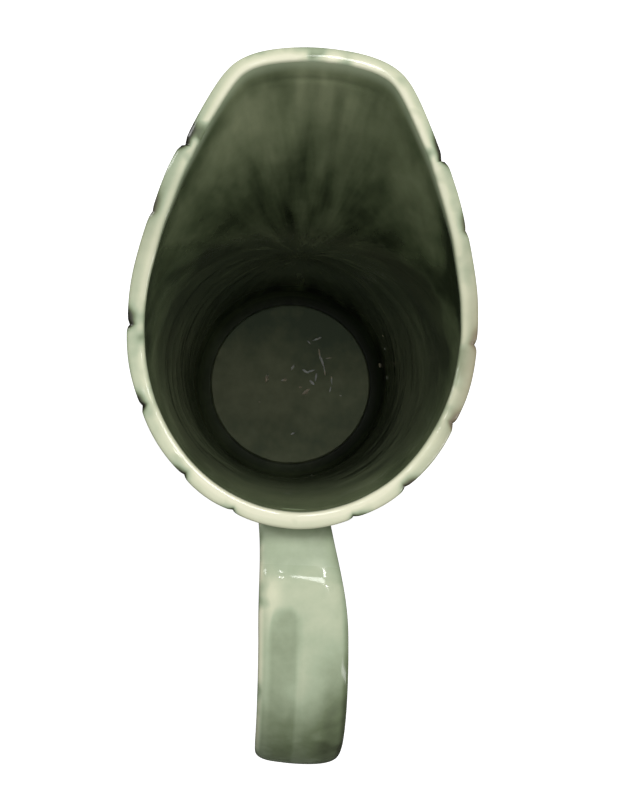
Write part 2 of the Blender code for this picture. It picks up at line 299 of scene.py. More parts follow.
def grid_mesh(name, rings, cap_start, cap_end):
    """A closed mesh through rings, an array (rows, columns, 3), with a point to close each end."""
    rows, cols, _ = rings.shape
    points = rings.reshape(-1, 3).tolist() + [list(cap_start), list(cap_end)]
    row, col = np.meshgrid(np.arange(rows - 1), np.arange(cols), indexing="ij")
    here, after = row * cols + col, row * cols + (col + 1) % cols
    faces = np.stack([here, after, after + cols, here + cols], -1).reshape(-1, 4).tolist()
    for i in range(cols):
        j = (i + 1) % cols
        faces.append((j, i, len(points) - 2))
        faces.append(((rows - 1) * cols + i, (rows - 1) * cols + j, len(points) - 1))
    data = bpy.data.meshes.new(name)
    data.from_pydata(points, [], faces)
    data.shade_smooth()
    piece = bpy.data.objects.new(name, data)
    bpy.context.scene.collection.objects.link(piece)
    return piece


def vertex_value(piece, name, values):
    """Stores a number, or a vector, for each vertex of a grid mesh, for the material to read."""
    values = np.asarray(values, dtype=np.float32)
    kind, field = ("FLOAT_VECTOR", "vector") if values.ndim == 3 else ("FLOAT", "value")
    flat = values.reshape(-1, values.shape[-1]) if values.ndim == 3 else values.reshape(-1)
    flat = np.concatenate([flat, flat[:1], flat[-1:]])
    attribute = piece.data.attributes.new(name, kind, "POINT")
    attribute.data.foreach_set(field, flat.reshape(-1))


def surface_normals(rings):
    """Outward normals of rings that run anticlockwise and upwards."""
    down = np.gradient(rings, axis=0)
    around = np.roll(rings, -1, axis=1) - np.roll(rings, 1, axis=1)
    normal = np.cross(around, down)
    return normal / np.maximum(np.linalg.norm(normal, axis=-1, keepdims=True), 1e-12)


# ---- The vessel's shape ----


def lip_rings(edge_out, edge_in, up):
    """Rings over the lip's nearly flat top, from its outer edge to its inner one."""
    rings = []
    for step in np.linspace(0, math.pi, LIP_ROWS + 2)[1:-1]:
        across = (1 - math.cos(step)) / 2
        lift = LIP_CREST * (1 - abs(2 * across - 1) ** LIP_FLATNESS) ** 0.5
        rings.append(edge_out + (edge_in - edge_out) * across + up * lift)
    return np.array(rings)


def throat_forms(side, turn, height):
    """The soft forms pressed into the inside of the spout: (relief, painted light and shade on them)."""
    x = side * wall_radius(turn, height) * np.sin(turn)
    between = climb(height, 0.140, 0.165) * (1 - climb(height, 0.190, 0.199))
    top = climb(height, 0.186, 0.193) * (1 - climb(height, LIP_SIDE - 0.006, LIP_SIDE))
    streaks = near(x, 0.0055, 0.0016) + near(x, -0.0020, 0.0014) + 0.6 * near(x, 0.0190, 0.002)
    # Each form, how high it stands in metres, and its painted light: a painted highlight where above 0,
    # painted shade where below 0.
    forms = (
        (near(x, 0.0092, 0.0062) * near(height, 0.177, 0.0105), 0.0020, 0.08),  # left lobe
        (near(x, 0.0100, 0.0060) * near(height, 0.185, 0.0050), 0, 0.12),  # its upper end, a painted highlight
        (near(x, -0.0135, 0.0070) * near(height, 0.187, 0.0095), 0.0015, 0.04),  # right lobe
        (near(x, -0.0072, 0.0018) * between, -0.0008, -0.34),  # groove in the right lobe, with painted shade in it
        (near(x, 0.0010, 0.0030) * between, -0.0003, -0.14),  # valley between the lobes, with painted shade in it
        # Streaks of painted highlight high in the throat.
        (streaks * top, 0.0003, 0.26),
        (bell(x / 0.022) * near(height, 0.1985, 0.0010), -0.0003, 0),  # fold across the top
        (near(x, -0.0270, 0.0040) * climb(height, 0.165, 0.180), 0, -0.30),  # painted shade, a dark sweep
    )
    front = ease(np.cos(turn) * 1.6 - 0.3)
    relief = sum(raised * form for form, raised, _ in forms)
    painted_shading = sum(pale * form for form, _, pale in forms)
    return front * relief, front * painted_shading


def straighten(points, turn, height):
    """Keeps the inside from bulging out again under the neck, where the clay lies thicker."""
    start = flare_start(turn)
    neck_inside = NECK_RADIUS - WALL
    limit = FOOT_INSIDE + (neck_inside - FOOT_INSIDE) * share(height, FLOOR_LEVEL, start)
    reach = np.hypot(points[..., 0], points[..., 1] - AXIS_Y)
    scale = np.where(height < start, np.minimum(1, limit / reach), 1)
    points = points.copy()
    points[..., 0] *= scale
    points[..., 1] = AXIS_Y + (points[..., 1] - AXIS_Y) * scale
    return points


def soften(points, weight):
    """Lets a wall's profile relax, up and down, where weight is 1."""
    points = points.copy()
    for _ in range(SOFTENING):
        middle = (points[:-2] + points[2:]) / 2
        points[1:-1] += 0.5 * weight[1:-1, :, None] * (middle - points[1:-1])
    return points


def wall_rings(side, turn, height):
    """Rings of the outside, of the lip and of the inside, which runs up like the outside, and the
    painted light and shade on the forms inside the spout."""
    sides, turns = side[0], turn[0]
    near_lip = climb(height, LIP_SIDE - LIP_REACH, LIP_SIDE)[..., None]
    front = np.maximum(0, np.cos(turns)) ** 2
    back = np.maximum(0, -np.cos(turns))

    outer = wall_point(side, turn, height)
    plain = wall_point(side, turn, height, relief=0.0)
    outward = surface_normals(plain)
    lip_wall = LIP_WALL + 0.0004 * front * ease(np.degrees(turns) / 22) - 0.0006 * back
    bead = BEAD * (1 - 0.8 * front) * near(height, LIP_SIDE, BEAD_HEIGHT)
    wall = WALL + (lip_wall - WALL) * near_lip[..., 0] + bead
    inner = straighten(plain - outward * wall[..., None], turn, height)
    inner = soften(inner, 1 - climb(height, LIP_SIDE - 0.035, LIP_SIDE - 0.010))
    relief, painted_shading = throat_forms(side, turn, height)
    inner = inner - outward * relief[..., None]

    # Both walls end below the crest, which lip_rings then puts back.
    up = outer[-1] - outer[-2]
    up /= np.linalg.norm(up, axis=-1, keepdims=True)
    uneven = 0.00025 * wander(sides, turns, 4.0) + 0.00018 * wander(sides, turns, 9.0, 6.0)
    sink = up * (LIP_CREST + LIP_LOWERING - uneven)[:, None]
    outer = outer - sink * near_lip - outward * (NOTCH_DEPTH * notch(turn, height))[..., None]
    higher = np.maximum(0, inner[-1, :, 2] - outer[-1, :, 2]) / up[:, 2]
    inner = inner - (sink + up * (0.30 * higher)[:, None]) * near_lip

    lip = lip_rings(outer[-1], inner[-1], up)
    outer_part = bell(np.linspace(0, 1, len(lip)) / 0.30)[:, None]
    lip = lip - up * (outer_part * notch(turns, LIP_SIDE) * DENT_DEPTH)[..., None]
    return outer, lip, inner, painted_shading


def ring(sides, turns, radius, level):
    """A level ring round the axis."""
    radius, level = np.broadcast_to(radius, turns.shape), np.broadcast_to(level, turns.shape)
    return np.stack([radius * sides * np.sin(turns), AXIS_Y - radius * np.cos(turns), level], -1)


def disc_level(radius):
    return DISC_TOP - DISC_DISH * (1 - (radius / DISC_RADIUS) ** 2)


def floor_rings(sides, turns, edge):
    """Rings from the inside's lowest ring, edge, round the corner and over the raised disc."""
    edge_radius = np.hypot(edge[:, 0], edge[:, 1] - AXIS_Y)
    edge_level = edge[:, 2]
    rings = []
    for step in np.linspace(0, CORNER_TURN, CORNER_ROWS + 1)[1:]:
        inwards = (1 - math.cos(step)) / (1 - math.cos(CORNER_TURN))
        downwards = math.sin(step) / math.sin(CORNER_TURN)
        radius = edge_radius + (DISC_RADIUS + CHANNEL_GAP - edge_radius) * inwards
        level = edge_level + (FLOOR_LEVEL - edge_level) * downwards
        rings.append(ring(sides, turns, radius, level))
    for step in np.linspace(0, math.pi / 2, DISC_EDGE_ROWS):
        radius = DISC_RADIUS - DISC_EDGE * (1 - math.cos(step))
        level = DISC_TOP - DISC_EDGE * (1 - math.sin(step))
        rings.append(ring(sides, turns, radius, level))
    for radius in np.linspace(DISC_RADIUS - DISC_EDGE, DISC_MIDDLE, DISC_ROWS)[1:]:
        rings.append(ring(sides, turns, radius, disc_level(radius)))
    return np.array(rings)


# ---- What the glaze does where, and where light and shade are painted ----
#
# The glaze material reads these values at each vertex:
#   inside  0 for the outside's colours to 1 for the inside's
#   pool_and_shade  thick, dark glaze on the outside's colours, and painted shade and painted reflections on
#   the strap
#   thin_glaze_and_highlight  thin, pale glaze on the outside's colours, with a painted highlight on the
#   lip's +X side and on the strap
#   tan     brown on the outside's colours
#   light   painted light and shade on the inside's colours: paler where above 0, darker below
#   low     painted shade on the inside's colours, at the wall's foot and round the floor
#   fan     where the inside's veins run, for the noise that draws them
#   vein    how strong the veins are
#   matt    dull surface
#   disc    the film on the floor's disc
#   painted_disc_shadow  darker, bluer film: the front wall's shadow painted on the disc


def paint_outside(values, rows, side, turn, height):
    """The outside and the lip."""
    sides, turns = side[0], turn[0]
    degrees = np.degrees(turns)
    outer, lip = rows["outer"], rows["lip"]
    over = np.linspace(0, 1, lip.stop - lip.start)[:, None]

    # Glaze pools in the creases and notches, and in patches along the lip's outer edge.
    patch = np.zeros_like(turns)
    for at, strength in zip(CREASE_TURNS, NOTCH_STRENGTHS):
        patch = np.maximum(patch, (0.35 + strength) * near(degrees, at - 2.0, 3.2))
    patch = patch * (1 + 0.5 * wander(sides, turns, 2.0, 5.0))
    pool_and_shade = values["pool_and_shade"]
    pool_and_shade[outer] = np.maximum(crease(turn, height), notch(turn, height) * 1.8)
    pool_and_shade[outer] += 1.2 * patch * climb(height, LIP_SIDE - 0.004, LIP_SIDE)
    pool_and_shade[lip] = 0.35 * crease(turns, LIP_SIDE) ** 2 * (1 - ease(over * 2))
    pool_and_shade[lip] += 3.0 * notch(turns, LIP_SIDE) * bell(over / 0.30)
    pool_and_shade[lip] += 2.3 * patch * near(over, 0.10, 0.34)
    # The lip is also darker at the +X side of the spout.
    pool_and_shade[lip] += 0.35 * (sides > 0) * near(degrees, 38, 14)

    # It runs thin on the crest, most of all in front and at the back, and the +X side is paler still, a
    # painted highlight.
    pale = ease(np.cos(2 * turns) * 0.7 + 0.25) + 0.25 * (sides > 0) * near(degrees, 90, 30)
    pale = 1 + pale * np.where(np.cos(turns) > 0, 1.0, 1.7)
    values["thin_glaze_and_highlight"][outer] = 0.6 * pale * climb(height, LIP_SIDE - 0.003, LIP_SIDE)
    values["thin_glaze_and_highlight"][lip] = pale * (0.34 + 0.66 * near(over, 0.74, 0.20))

    warm = np.where(sides < 0, near(degrees, 95, 34), 0.25 * near(degrees, 60, 15))
    values["tan"][outer] = warm * climb(height, LIP_SIDE - 0.012, LIP_SIDE)
    values["tan"][lip] = warm * (1 - 0.8 * ease(over * 1.3 - 0.2))
    values["inside"][lip] = 0.35 * ease((over - 0.80) / 0.20)


def paint_inside(values, rows, rings, side, turn, height, painted_shading):
    """From the lip's inner edge down to the corner round the floor."""
    sides, turns = side[0], turn[0]
    degrees, forward, backward = np.degrees(turns), np.cos(turns), -np.cos(turns)
    inside = rows["inside"]
    below_lip = slice(inside.start, None)
    soft_edge = 0.0012 + 0.0024 * ease(1.25 * forward - 0.1)
    fallen = rings[inside.start, :, 2] - rings[below_lip, :, 2]
    values["inside"][below_lip] = 0.35 + 0.65 * ease(fallen / soft_edge)

    # Painted light and shade: light painted high up in the throat, painted shade at its sides, a little
    # paler again low down, a painted sheen under the lip at the back with painted shade under it at the
    # front, and light painted high on the back wall.
    light = 1.1 * climb(height, 0.150, 0.195) * (0.04 + 0.96 * ease(forward * 2 - 0.7))
    light -= 0.42 * near(degrees, 54, 26) * climb(height, 0.10, 0.15)
    side_dim = np.where(sides < 0, 0.34 * near(degrees, 62, 26), 0.30 * near(degrees, 34, 14))
    light -= side_dim * climb(height, 0.13, 0.18)
    light += 0.12 * (1 - climb(height, 0.085, 0.125))
    under_lip = near(height, LIP_SIDE - 0.004, 0.0045)
    light += (0.28 * ease(backward * 1.4) - 0.42 * ease(forward * 1.5 + 0.2)) * under_lip
    light += 0.25 * climb(height, 0.110, 0.185) * ease(backward * 5 - 3.8)
    values["light"][inside] = light + 1.1 * painted_shading

    # The veins spread like a fan from one place at the front.
    across = side * turn * wall_radius(turn, height)
    above = true_height(turn, height) - FAN_HEIGHT
    reach = np.hypot(across, above) + 0.004
    fan = values["fan"]
    fan[inside] = np.stack([1.6 * across / reach, 1.6 * above / reach, 4.5 * reach], -1)
    fan[inside.stop :] = fan[inside.stop - 1]
    values["vein"][inside] = 1 - ease((turn / math.pi - 0.82) / 0.12)

    # Painted shade at the foot of the wall.
    values["low"][inside] = 1 - climb(height, 0.010, 0.035)
    values["matt"][inside] = 0.3 * (1 - climb(height, 0.012, 0.060))


def paint_floor(values, rows, rings, sides, turns):
    """The corner, the channel that it ends in, and the disc."""
    corner, channel, disc = rows["corner"], rows["channel"], rows["disc"]
    # Painted shade in the corner round the floor, darkest in the channel; it and the painted shade at the
    # wall's foot are strongest towards the front and the -X side.
    values["low"][corner] = 1.0
    values["low"][channel] = 1.5
    painted_shadow_side = 0.5 - 0.9 * sides * np.sin(turns) + 0.5 * np.cos(turns)
    values["low"][rows["inside"].start :] *= 0.40 + 0.60 * ease(painted_shadow_side)
    values["matt"][corner] = 0.3
    values["matt"][channel] = 0.9
    values["matt"][disc] = 0.9
    values["disc"][disc] = 1.0
    # The disc darker towards the front: a painted shadow of the front wall.
    values["painted_disc_shadow"][disc] = climb(AXIS_Y - rings[disc, :, 1], 0.004, 0.034)


def make_vessel():
    sides, turns = columns()
    up_wall = 1 - (1 - np.linspace(0, 1, WALL_ROWS)) ** ROW_CROWDING
    heights = BASE_HEIGHT + (LIP_SIDE - BASE_HEIGHT) * up_wall
    side, turn, height = np.broadcast_arrays(sides, turns, heights[:, None])
    outer, lip, inner, painted_shading = wall_rings(side, turn, height)

    # The inside, from the lip down to where the corner round the floor begins.
    keep = inner[::-1, 0, 2] > FLOOR_LEVEL + CORNER_HEIGHT
    inside = inner[::-1][keep]
    floor = floor_rings(sides, turns, inside[-1])
    underside = np.array([ring(sides, turns, radius, BASE_HEIGHT) for radius in UNDERSIDE_RADII])
    rings = np.concatenate([underside, outer, lip, inside, floor])
    piece = grid_mesh("glazed_vessel", rings, (0, AXIS_Y, BASE_HEIGHT), (0, AXIS_Y, disc_level(0)))

    corner_rows = CORNER_ROWS - CHANNEL_ROWS
    counts = [len(underside), len(outer), len(lip), len(inside), corner_rows, CHANNEL_ROWS]
    starts = np.cumsum(counts).tolist()
    names = ("outer", "lip", "inside", "corner", "channel")
    rows = {name: slice(start, stop) for name, start, stop in zip(names, starts, starts[1:])}
    rows["disc"] = slice(starts[-1], len(rings))
    names = ("inside", "pool_and_shade", "thin_glaze_and_highlight", "tan", "light", "low", "vein", "matt", "disc", "painted_disc_shadow")
    values = {name: np.zeros(rings.shape[:2]) for name in names}
    values["fan"] = np.zeros(rings.shape)
    paint_outside(values, rows, side, turn, height)
    lowered = [grid[::-1][keep] for grid in (side, turn, height, painted_shading)]
    paint_inside(values, rows, rings, *lowered)
    paint_floor(values, rows, rings, sides, turns)
    for name, numbers in values.items():
        vertex_value(piece, name, numbers)
    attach(piece, "root")
    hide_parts("body_wall", "spout", "floor")
    return piece


# ---- The handle ----


def strap_path():
    """(place, direction, share of its length) along the strap's middle, as the CAD has it."""
    root_height = float(lip_height(math.pi)) - ROOT_DROP
    root_out = float(wall_radius(math.pi, min(root_height, LIP_SIDE))) - HANDLE_EMBED
    peak = root_height + PEAK_RISE
    back_out = HANDLE_REACH - STRAP_THICKNESS / 2
    tail_out = float(body_radius(TAIL_HEIGHT)) - HANDLE_EMBED
    knots = [
        (Vector((root_out, root_height)), Vector((1.0, 0.10)).normalized()),
        (Vector((HANDLE_REACH - PEAK_INSET, peak)), Vector((1.0, -0.02)).normalized()),
        (Vector((back_out, peak - SHOULDER_DROP)), Vector((0.0, -1.0))),
        (Vector((tail_out, TAIL_HEIGHT)), Vector((-1.0, -0.42)).normalized()),
    ]
    parts = len(knots) - 1
    path = []
    for part, ((a, leaving), (d, arriving)) in enumerate(zip(knots, knots[1:])):
        pull = (d - a).length * 0.40
        b, c = a + leaving * pull, d - arriving * pull
        for i in range(STRAP_STEPS + (part == parts - 1)):
            t = i / STRAP_STEPS
            place = a * (1 - t) ** 3 + b * 3 * t * (1 - t) ** 2 + c * 3 * t * t * (1 - t) + d * t**3
            slope = (b - a) * (1 - t) ** 2 + (c - b) * 2 * t * (1 - t) + (d - c) * t * t
            path.append((place, slope.normalized(), (part + t) / parts))
    return path


def inside_body(place):
    """How deep a point of the handle's plane, (out from the axis, height), lies in the wall."""
    raised = float(lip_height(math.pi)) - LIP_SIDE
    level = place.y - raised * float(climb(place.y, NECK_HEIGHT, LIP_SIDE))
    return float(wall_radius(math.pi, min(level, LIP_SIDE))) - CREASE_DEPTH - place.x


def strap_side(along):
    """How far the strap's middle is to the +X side, as the CAD has it."""
    return ENDS_SIDE - HANDLE_LEAN * math.sin(math.pi * along**LEAN_POWER) - TAIL_SHIFT * along**2


def strap_section(along, c, s):
    """(across, out) of the points round the strap. c goes from 1 at its +X edge to -1 at the other,
    and s is above 0 on its outer face."""
    root = ROOT_NARROWING * (1 - climb(along, 0.0, 0.28))
    tail = TAIL_NARROWING * climb(along, 0.5, 1.0)
    across = np.sign(c) * np.abs(c) ** (2 / STRAP_SQUARENESS) * STRAP_WIDTH / 2 * (1 - root - tail)
    out = np.sign(s) * np.abs(s) ** (2 / STRAP_SQUARENESS) * (STRAP_THICKNESS / 2 - SKIN)
    groove = GROOVE_DEPTH * near(across, 0.0055, 0.004) * climb(along, 0.2, 0.35)
    begin = LEDGE_PLACE - LEDGE_SLANT * c
    ledge = LEDGE_RISE * (climb(along, begin, begin + LEDGE_LENGTH) - 1)
    ripple = RIPPLE_DEPTH * math.sin(along * RIPPLE_PACE) * (1 - climb(along, 0.11, 0.15))
    return across, out - (s > 0) * groove + (ledge + ripple) * np.maximum(s, 0) ** 0.4


def strap_glaze(along, c, s):
    """The glaze's values over the strap, where c and s are as in strap_section, with painted shade, painted
    reflections and a painted highlight.
    """
    # Painted reflection of a dark shape overhead: a dark patch over the +X half of the outer face, past the
    # ledge, fading towards the tail.
    flat = ease((c + 0.02) / 0.14) * (1 - ease((c - 0.58) / 0.18))
    begin = 0.225 + 0.02 * ((c - 0.32) / 0.3) ** 4
    patch = flat * climb(along, begin, begin + 0.02) * (1 - 0.7 * climb(along, 0.33, 0.50))
    # Painted shade down the -X side, growing towards the tail.
    painted_shade_side = ease((-0.05 - c) / 0.5) * climb(along, 0.27, 0.42)
    # Painted reflection of the green body, darker on the root up to the ledge.
    root = 1 - climb(along, LEDGE_PLACE - LEDGE_SLANT * c, LEDGE_PLACE + 0.02)
    # A painted lighter streak down the middle.
    painted_streak = near(c, 0.04, 0.05) * climb(along, 0.28, 0.34)
    pool_and_shade = 0.36 * patch + 0.44 * painted_shade_side + 0.16 * root - 0.16 * painted_streak
    # Darker along the -X edge, and painted shade growing towards the tail.
    pool_and_shade += 0.40 * near(c, -0.93, 0.09) * climb(along, 0.1, 0.3) + 0.22 * climb(along, 0.36, 0.46)
    # A painted highlight on the +X half just past the ledge, fading to painted shade towards the tail.
    painted_highlight = near(c, 0.62, 0.26) * near(along, 0.215, 0.05)
    thin_glaze_and_highlight = 0.75 * painted_highlight - 0.3 * climb(along, 0.32, 0.5)
    dull = 1 - climb(along, LEDGE_PLACE - 0.030, LEDGE_PLACE - 0.010)
    outer_face = s > 0
    return {
        "pool_and_shade": outer_face * pool_and_shade + 0.5 * (1 - climb(along, 0.03, 0.10)),
        "thin_glaze_and_highlight": outer_face * thin_glaze_and_highlight + ease((c - 0.80) / 0.14) * (s > -0.6),
        "matt": outer_face * 0.55 * dull,
    }


def make_strap():
    path = [step for step in strap_path() if inside_body(step[0]) < STRAP_BITE]
    angle = np.linspace(0, 2 * math.pi, STRAP_POINTS, endpoint=False)[::-1]
    c, s = np.cos(angle), np.sin(angle)
    rings = []
    for place, slope, along in path:
        across, out = strap_section(along, c, s)
        x = strap_side(along) + across
        rings.append(np.stack([x, AXIS_Y + place.x - slope.y * out, place.y + slope.x * out], -1))
    rings = np.array(rings)
    piece = grid_mesh("strap_handle", rings, rings[0].mean(0), rings[-1].mean(0))
    shares = np.array([along for _, _, along in path])[:, None]
    for name, numbers in strap_glaze(shares, c, s).items():
        vertex_value(piece, name, numbers)
    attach(piece, "root")
    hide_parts("handle")
    return piece


# ---- The dried marks on the floor inside ----

# Each mark's x and y from the middle of the floor, length and width in millimetres, and degrees.
MARKS = (
    (-11, -21.2, 4.2, 0.81, 25),
    (-7.4, -19.4, 2.4, 0.56, 140),
    (-12.4, -14.6, 4.4, 0.81, 100),
    (-13.8, -11, 5.2, 0.93, 112),
    (-15.2, -6.6, 3.8, 0.68, 104),
    (-6.4, -6.2, 3.2, 0.99, 150),
    (-9, -6.4, 3.4, 0.87, 20),
    (-11.4, -3.8, 3.6, 0.87, 85),
    (-9.8, -1.2, 3.2, 1.05, 140),
    (-7.2, 3.2, 3.8, 1.55, 40),
    (-4.6, 1.2, 1.6, 0.74, 0),
    (-0.6, -7.6, 2.4, 1.05, 60),
    (3, -1.6, 2.6, 1.18, 10),
    (10.9, -1.7, 3.4, 1.55, 80),
    (-18.6, -2.8, 3.4, 0.68, 96),
    (-18.2, 1.4, 2.6, 0.62, 80),
    (-16.8, -12.8, 3, 0.5, 10),
    (-2.3, 22.4, 2, 0.74, 30),
    (13.5, 9, 1, 0.5, 0),
    (-23, 4, 1.1, 0.43, 0),
)
# Each crumb's turn in degrees, and height and size in millimetres, on the -X side of the wall.
CRUMBS = ((61.4, 42, 0.9), (68, 33, 0.9), (84, 23, 1.7), (91, 20, 0.8), (75, 11, 2.0), (164, 17, 1.0))
MARK_THICKNESS = 0.00012
MM = 0.001


def add_mark(shapes, spot, size, seed):
    """A ragged grain with the half sizes given, set by the matrix spot."""
    made = bmesh.ops.create_icosphere(shapes, subdivisions=3, radius=1.0)["verts"]
    for vert in made:
        ragged = 1 + 0.55 * noise.noise(vert.co * 2.3 + seed)
        vert.co = spot @ Vector([a * b * ragged for a, b in zip(vert.co, size)])


def make_marks(vessel):
    shapes = bmesh.new()
    for x, y, length, width, angle in MARKS:
        place = Matrix.Translation((x * MM, AXIS_Y + y * MM, disc_level(math.hypot(x, y) * MM)))
        spot = place @ Matrix.Rotation(math.radians(angle), 4, "Z")
        size = (length * MM / 2, width * MM / 2, MARK_THICKNESS)
        add_mark(shapes, spot, size, Vector((x, y, 0)))
    bpy.context.view_layer.update()
    for turn, height, across in CRUMBS:
        away = Vector((-math.sin(math.radians(turn)), -math.cos(math.radians(turn)), 0))
        _, place, facing, _ = vessel.ray_cast(Vector((0, AXIS_Y, height * MM)), away)
        spot = Matrix.Translation(place) @ facing.to_track_quat("Z", "Y").to_matrix().to_4x4()
        size = (across * MM / 2, across * MM / 2.5, across * MM / 6)
        add_mark(shapes, spot, size, Vector((turn, height, 0)))
    data = bpy.data.meshes.new("floor_marks")
    shapes.to_mesh(data)
    shapes.free()
    data.shade_smooth()
    piece = bpy.data.objects.new("floor_marks", data)
    bpy.context.scene.collection.objects.link(piece)
    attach(piece, "root")
    return piece


# ---- Materials ----


class Nodes:
    """A short way to write a node tree."""

    def __init__(self, name):
        self.material = bpy.data.materials.new(name)
        self.material.use_nodes = True
        self.tree = self.material.node_tree
        self.shader = self.tree.nodes["Principled BSDF"]

    def add(self, kind, **settings):
        node = self.tree.nodes.new(kind)
        for key, value in settings.items():
            setattr(node, key, value)
        return node

    def link(self, source, target):
        self.tree.links.new(source, target)

    def put(self, socket, value):
        if hasattr(value, "links"):
            self.link(value, socket)
        else:
            socket.default_value = value

    def math(self, operation, a, b=0.0):
        node = self.add("ShaderNodeMath", operation=operation)
        self.put(node.inputs[0], a)
        self.put(node.inputs[1], b)
        return node.outputs[0]

    def mix(self, factor, a, b):
        node = self.add("ShaderNodeMix", data_type="RGBA")
        self.put(node.inputs[0], factor)
        self.put(node.inputs[6], a)
        self.put(node.inputs[7], b)
        return node.outputs[2]

    def blend(self, factor, a, b):
        node = self.add("ShaderNodeMix", data_type="FLOAT")
        self.put(node.inputs[0], factor)
        self.put(node.inputs[2], a)
        self.put(node.inputs[3], b)
        return node.outputs[0]

    def value(self, name, output="Fac"):
        """What vertex_value stored under the name, or 0 where nothing was stored."""
        return self.add("ShaderNodeAttribute", attribute_name=name).outputs[output]

    def noise(self, scale, detail, roughness, offset=(0, 0, 0), place=None):
        place = place or self.add("ShaderNodeTexCoord").outputs["Object"]
        mapping = self.add("ShaderNodeMapping")
        mapping.inputs["Location"].default_value = offset
        self.link(place, mapping.inputs["Vector"])
        node = self.add("ShaderNodeTexNoise")
        node.inputs["Scale"].default_value = scale
        node.inputs["Detail"].default_value = detail
        node.inputs["Roughness"].default_value = roughness
        self.link(mapping.outputs[0], node.inputs["Vector"])
        return node.outputs["Fac"]

    def ramp(self, factor, stops):
        node = self.add("ShaderNodeValToRGB")
        ramp = node.color_ramp
        while len(ramp.elements) < len(stops):
            ramp.elements.new(0.5)
        for element, (place, colour) in zip(ramp.elements, stops):
            element.position = place
            element.color = (*colour, 1)
        self.put(node.inputs[0], factor)
        return node.outputs[0]

    def remap(self, value, low, high, new_low=0.0, new_high=1.0):
        """Takes low to new_low and high to new_high, and holds them beyond."""
        node = self.add("ShaderNodeMapRange")
        self.put(node.inputs[0], value)
        for i, number in enumerate((low, high, new_low, new_high)):
            node.inputs[i + 1].default_value = number
        return node.outputs[0]

    def total(self, *terms):
        """The sum of terms, each a value or a (value, factor) pair."""
        result = 0.0
        for term in terms:
            if isinstance(term, tuple):
                term = self.math("MULTIPLY", term[0], term[1])
            result = self.math("ADD", result, term)
        return result


def glaze():
    """Celadon: paler where it is thin, near black where it pools, with veins inside the vessel, and with
    the painted light, shade and highlights that the vertex values carry.
    """
    n = Nodes("green_glaze")
    blotch = n.math("SUBTRACT", n.noise(30, 3, 0.55), 0.5)
    fine = n.math("SUBTRACT", n.noise(150, 3, 0.6, offset=(3, 1, 2)), 0.5)
    veins = n.math("SUBTRACT", n.noise(4.5, 3, 0.55, place=n.value("fan", "Vector")), 0.5)
    veins = n.math("MULTIPLY", veins, n.value("vein"))

    dapple = n.remap(n.noise(75, 2, 0.5, offset=(7, 3, 5)), 0.52, 0.66)
    edge = n.math("MULTIPLY", dapple, n.value("thin_glaze_and_highlight"))
    # Depth takes in the glaze's pooling and thinning and, on the strap, painted shade, painted reflections
    # and a painted highlight.
    depth = n.total(
        0.40, (n.value("pool_and_shade"), 0.34), (blotch, 0.34), (fine, 0.14), (n.value("thin_glaze_and_highlight"), -0.24), (edge, 0.32)
    )
    outside = n.ramp(depth, [
        (0.0, (0.74, 0.73, 0.55)),
        (0.20, (0.60, 0.62, 0.44)),
        (0.42, (0.36, 0.425, 0.285)),
        (0.62, (0.16, 0.20, 0.11)),
        (0.80, (0.055, 0.065, 0.035)),
        (1.0, (0.02, 0.022, 0.012)),
    ])
    # The inside's tone takes in the painted light and the painted shade.
    tone = n.total(
        0.30, (blotch, 0.5), (veins, 1.5), (fine, 0.25), (n.value("light"), 0.55), (n.value("low"), -0.22)
    )
    inside = n.ramp(tone, [
        (0.0, (0.022, 0.030, 0.015)),
        (0.32, (0.088, 0.112, 0.056)),
        (0.70, (0.185, 0.218, 0.120)),
        (1.0, (0.29, 0.325, 0.19)),
    ])
    # The film is darker where the front wall's shadow is painted on the disc.
    film_tone = n.total(0.5, (blotch, 1.3), (fine, 0.7), (n.value("painted_disc_shadow"), -0.6))
    film = n.ramp(film_tone, [
        (0.0, (0.12, 0.16, 0.09)),
        (0.4, (0.22, 0.255, 0.14)),
        (0.9, (0.38, 0.40, 0.235)),
    ])
    inside = n.mix(n.value("disc"), inside, film)
    outside = n.mix(n.math("MULTIPLY", n.value("tan"), 0.70), outside, (0.36, 0.30, 0.20, 1))
    n.link(n.mix(n.value("inside"), outside, inside), n.shader.inputs["Base Color"])
    rough = n.blend(n.value("matt"), n.remap(blotch, -0.3, 0.3, 0.08, 0.18), 0.70)
    n.link(rough, n.shader.inputs["Roughness"])

    soft = n.add("ShaderNodeBump")
    soft.inputs["Strength"].default_value = 0.35
    soft.inputs["Distance"].default_value = 0.0012
    relief = n.total((n.noise(55, 2, 0.45, offset=(5, 5, 5)), 0.6), (veins, 1.6))
    n.link(relief, soft.inputs["Height"])
    n.link(soft.outputs[0], n.shader.inputs["Normal"])
    return n.material


def lime():
    """Pale residue, tan in places."""
    n = Nodes("dried_lime")
    colour = n.ramp(n.noise(700, 3, 0.6), [(0.35, (0.34, 0.36, 0.27)), (0.60, (0.80, 0.82, 0.72))])
    tan = n.ramp(n.noise(120, 1, 0.5, offset=(1, 2, 0)), [(0.50, (1, 1, 1)), (0.58, (0.80, 0.60, 0.38))])
    n.link(n.mix(0.5, colour, tan), n.shader.inputs["Base Color"])
    n.shader.inputs["Roughness"].default_value = 0.8
    return n.material


def clay():
    n = Nodes("bare_clay")
    colour = n.ramp(n.noise(400, 4, 0.7), [(0.3, (0.42, 0.35, 0.25)), (0.7, (0.62, 0.54, 0.42))])
    n.link(colour, n.shader.inputs["Base Color"])
    n.shader.inputs["Roughness"].default_value = 0.85
    return n.material


# ---- The studio ----

STUDIO_REACH = 3.0
STUDIO_GLOW = 0.95
SKY_STRENGTH = 1.05


